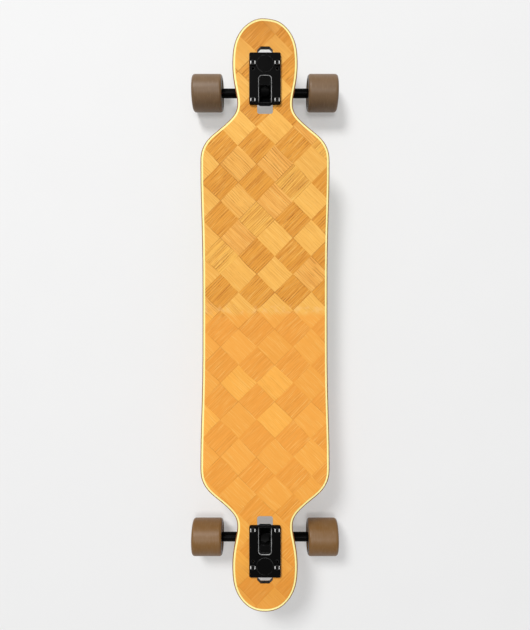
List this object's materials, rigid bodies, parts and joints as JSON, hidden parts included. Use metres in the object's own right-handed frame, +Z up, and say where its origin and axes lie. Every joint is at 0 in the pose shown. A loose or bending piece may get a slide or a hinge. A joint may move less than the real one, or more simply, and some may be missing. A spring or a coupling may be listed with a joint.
{
  "type": "longboard skateboard",
  "caption": "Drop-through longboard: cut-away wooden deck with reverse-kingpin trucks that steer as it leans and urethane wheels on ball bearings.",
  "frame": {"origin": "on the floor under the middle of the board", "axes": "+X along the board towards the nose, +Y to the left, +Z up"},
  "size_m": [1.0161, 0.265, 0.1092],
  "materials": {
    "woven_veneer": "woven bamboo under clear satin lacquer",
    "pale_ply": "bare sanded edge",
    "core_ply": "sealed edge",
    "printed_veneer": "bamboo with a printed leaf pattern under lacquer",
    "truck_black": "satin black coat on cast aluminium",
    "cup_black": "matte",
    "black_steel": "black oxide",
    "bushing_orange": "cast urethane",
    "axle_steel": "zinc plated",
    "bearing_steel": "ground",
    "urethane": "glossy translucent taupe urethane",
    "core_plastic": "moulded",
    "shield_black": "moulded"
  },
  "bodies": {
    "board": {"deck_bottom_veneer": "printed_veneer", "deck_lower_ply": "pale_ply", "deck_core": "core_ply", "deck_upper_ply": "pale_ply", "deck_top_veneer": "woven_veneer", "front_baseplate": "truck_black", "front_pivot_cup": "cup_black", "front_kingpin": "black_steel", "front_kingpin_nut": "black_steel", "front_boardside_bushing": "bushing_orange", "front_roadside_bushing": "bushing_orange", "front_bushing_washers": "black_steel", "front_deck_bolts": "black_steel", "front_deck_nuts": "black_steel", "rear_baseplate": "truck_black", "rear_pivot_cup": "cup_black", "rear_kingpin": "black_steel", "rear_kingpin_nut": "black_steel", "rear_boardside_bushing": "bushing_orange", "rear_roadside_bushing": "bushing_orange", "rear_bushing_washers": "black_steel", "rear_deck_bolts": "black_steel", "rear_deck_nuts": "black_steel"},
    "front_steering": {"front_hanger": "truck_black", "front_axle": "axle_steel", "front_speed_washers": "axle_steel", "front_bearing_spacers": "axle_steel", "front_inner_races": "bearing_steel", "front_axle_nuts": "axle_steel"},
    "front_left_wheel": {"front_left_tyre": "urethane", "front_left_core": "core_plastic", "front_left_outer_races": "bearing_steel", "front_left_shields": "shield_black"},
    "front_left_ball_set": {"front_left_balls": "bearing_steel", "front_left_ball_cages": "bearing_steel"},
    "front_right_wheel": {"front_right_tyre": "urethane", "front_right_core": "core_plastic", "front_right_outer_races": "bearing_steel", "front_right_shields": "shield_black"},
    "front_right_ball_set": {"front_right_balls": "bearing_steel", "front_right_ball_cages": "bearing_steel"},
    "rear_steering": {"rear_hanger": "truck_black", "rear_axle": "axle_steel", "rear_speed_washers": "axle_steel", "rear_bearing_spacers": "axle_steel", "rear_inner_races": "bearing_steel", "rear_axle_nuts": "axle_steel"},
    "rear_left_wheel": {"rear_left_tyre": "urethane", "rear_left_core": "core_plastic", "rear_left_outer_races": "bearing_steel", "rear_left_shields": "shield_black"},
    "rear_left_ball_set": {"rear_left_balls": "bearing_steel", "rear_left_ball_cages": "bearing_steel"},
    "rear_right_wheel": {"rear_right_tyre": "urethane", "rear_right_core": "core_plastic", "rear_right_outer_races": "bearing_steel", "rear_right_shields": "shield_black"},
    "rear_right_ball_set": {"rear_right_balls": "bearing_steel", "rear_right_ball_cages": "bearing_steel"}
  },
  "joints": [
    {"name": "front_steer", "type": "hinge", "parent": "board", "child": "front_steering", "pos_m": [0.39191, 0, 0.0465], "axis": [0.6428, 0, 0.766], "range_deg": [-18, 18], "stiffness_Nm_per_rad": 80, "deforming": ["front_boardside_bushing", "front_roadside_bushing"]},
    {"name": "front_left_spin", "type": "hinge", "parent": "front_steering", "child": "front_left_wheel", "pos_m": [0.408, 0.105, 0.033], "axis": [0, 1, 0], "continuous": true},
    {"name": "front_left_ball_orbit", "type": "hinge", "parent": "front_steering", "child": "front_left_ball_set", "pos_m": [0.408, 0.105, 0.033], "axis": [0, 1, 0], "continuous": true},
    {"name": "front_right_spin", "type": "hinge", "parent": "front_steering", "child": "front_right_wheel", "pos_m": [0.408, -0.105, 0.033], "axis": [0, 1, 0], "continuous": true},
    {"name": "front_right_ball_orbit", "type": "hinge", "parent": "front_steering", "child": "front_right_ball_set", "pos_m": [0.408, -0.105, 0.033], "axis": [0, 1, 0], "continuous": true},
    {"name": "rear_steer", "type": "hinge", "parent": "board", "child": "rear_steering", "pos_m": [-0.39191, 0, 0.0465], "axis": [-0.6428, 0, 0.766], "range_deg": [-18, 18], "stiffness_Nm_per_rad": 80, "deforming": ["rear_boardside_bushing", "rear_roadside_bushing"]},
    {"name": "rear_left_spin", "type": "hinge", "parent": "rear_steering", "child": "rear_left_wheel", "pos_m": [-0.408, 0.105, 0.033], "axis": [0, 1, 0], "continuous": true},
    {"name": "rear_left_ball_orbit", "type": "hinge", "parent": "rear_steering", "child": "rear_left_ball_set", "pos_m": [-0.408, 0.105, 0.033], "axis": [0, 1, 0], "continuous": true},
    {"name": "rear_right_spin", "type": "hinge", "parent": "rear_steering", "child": "rear_right_wheel", "pos_m": [-0.408, -0.105, 0.033], "axis": [0, 1, 0], "continuous": true},
    {"name": "rear_right_ball_orbit", "type": "hinge", "parent": "rear_steering", "child": "rear_right_ball_set", "pos_m": [-0.408, -0.105, 0.033], "axis": [0, 1, 0], "continuous": true}
  ],
  "couplings": [
    {"joint": "front_left_ball_orbit", "follows": "front_left_spin", "ratio": 0.6277},
    {"joint": "front_right_ball_orbit", "follows": "front_right_spin", "ratio": 0.6277},
    {"joint": "rear_left_ball_orbit", "follows": "rear_left_spin", "ratio": 0.6277},
    {"joint": "rear_right_ball_orbit", "follows": "rear_right_spin", "ratio": 0.6277}
  ]
}
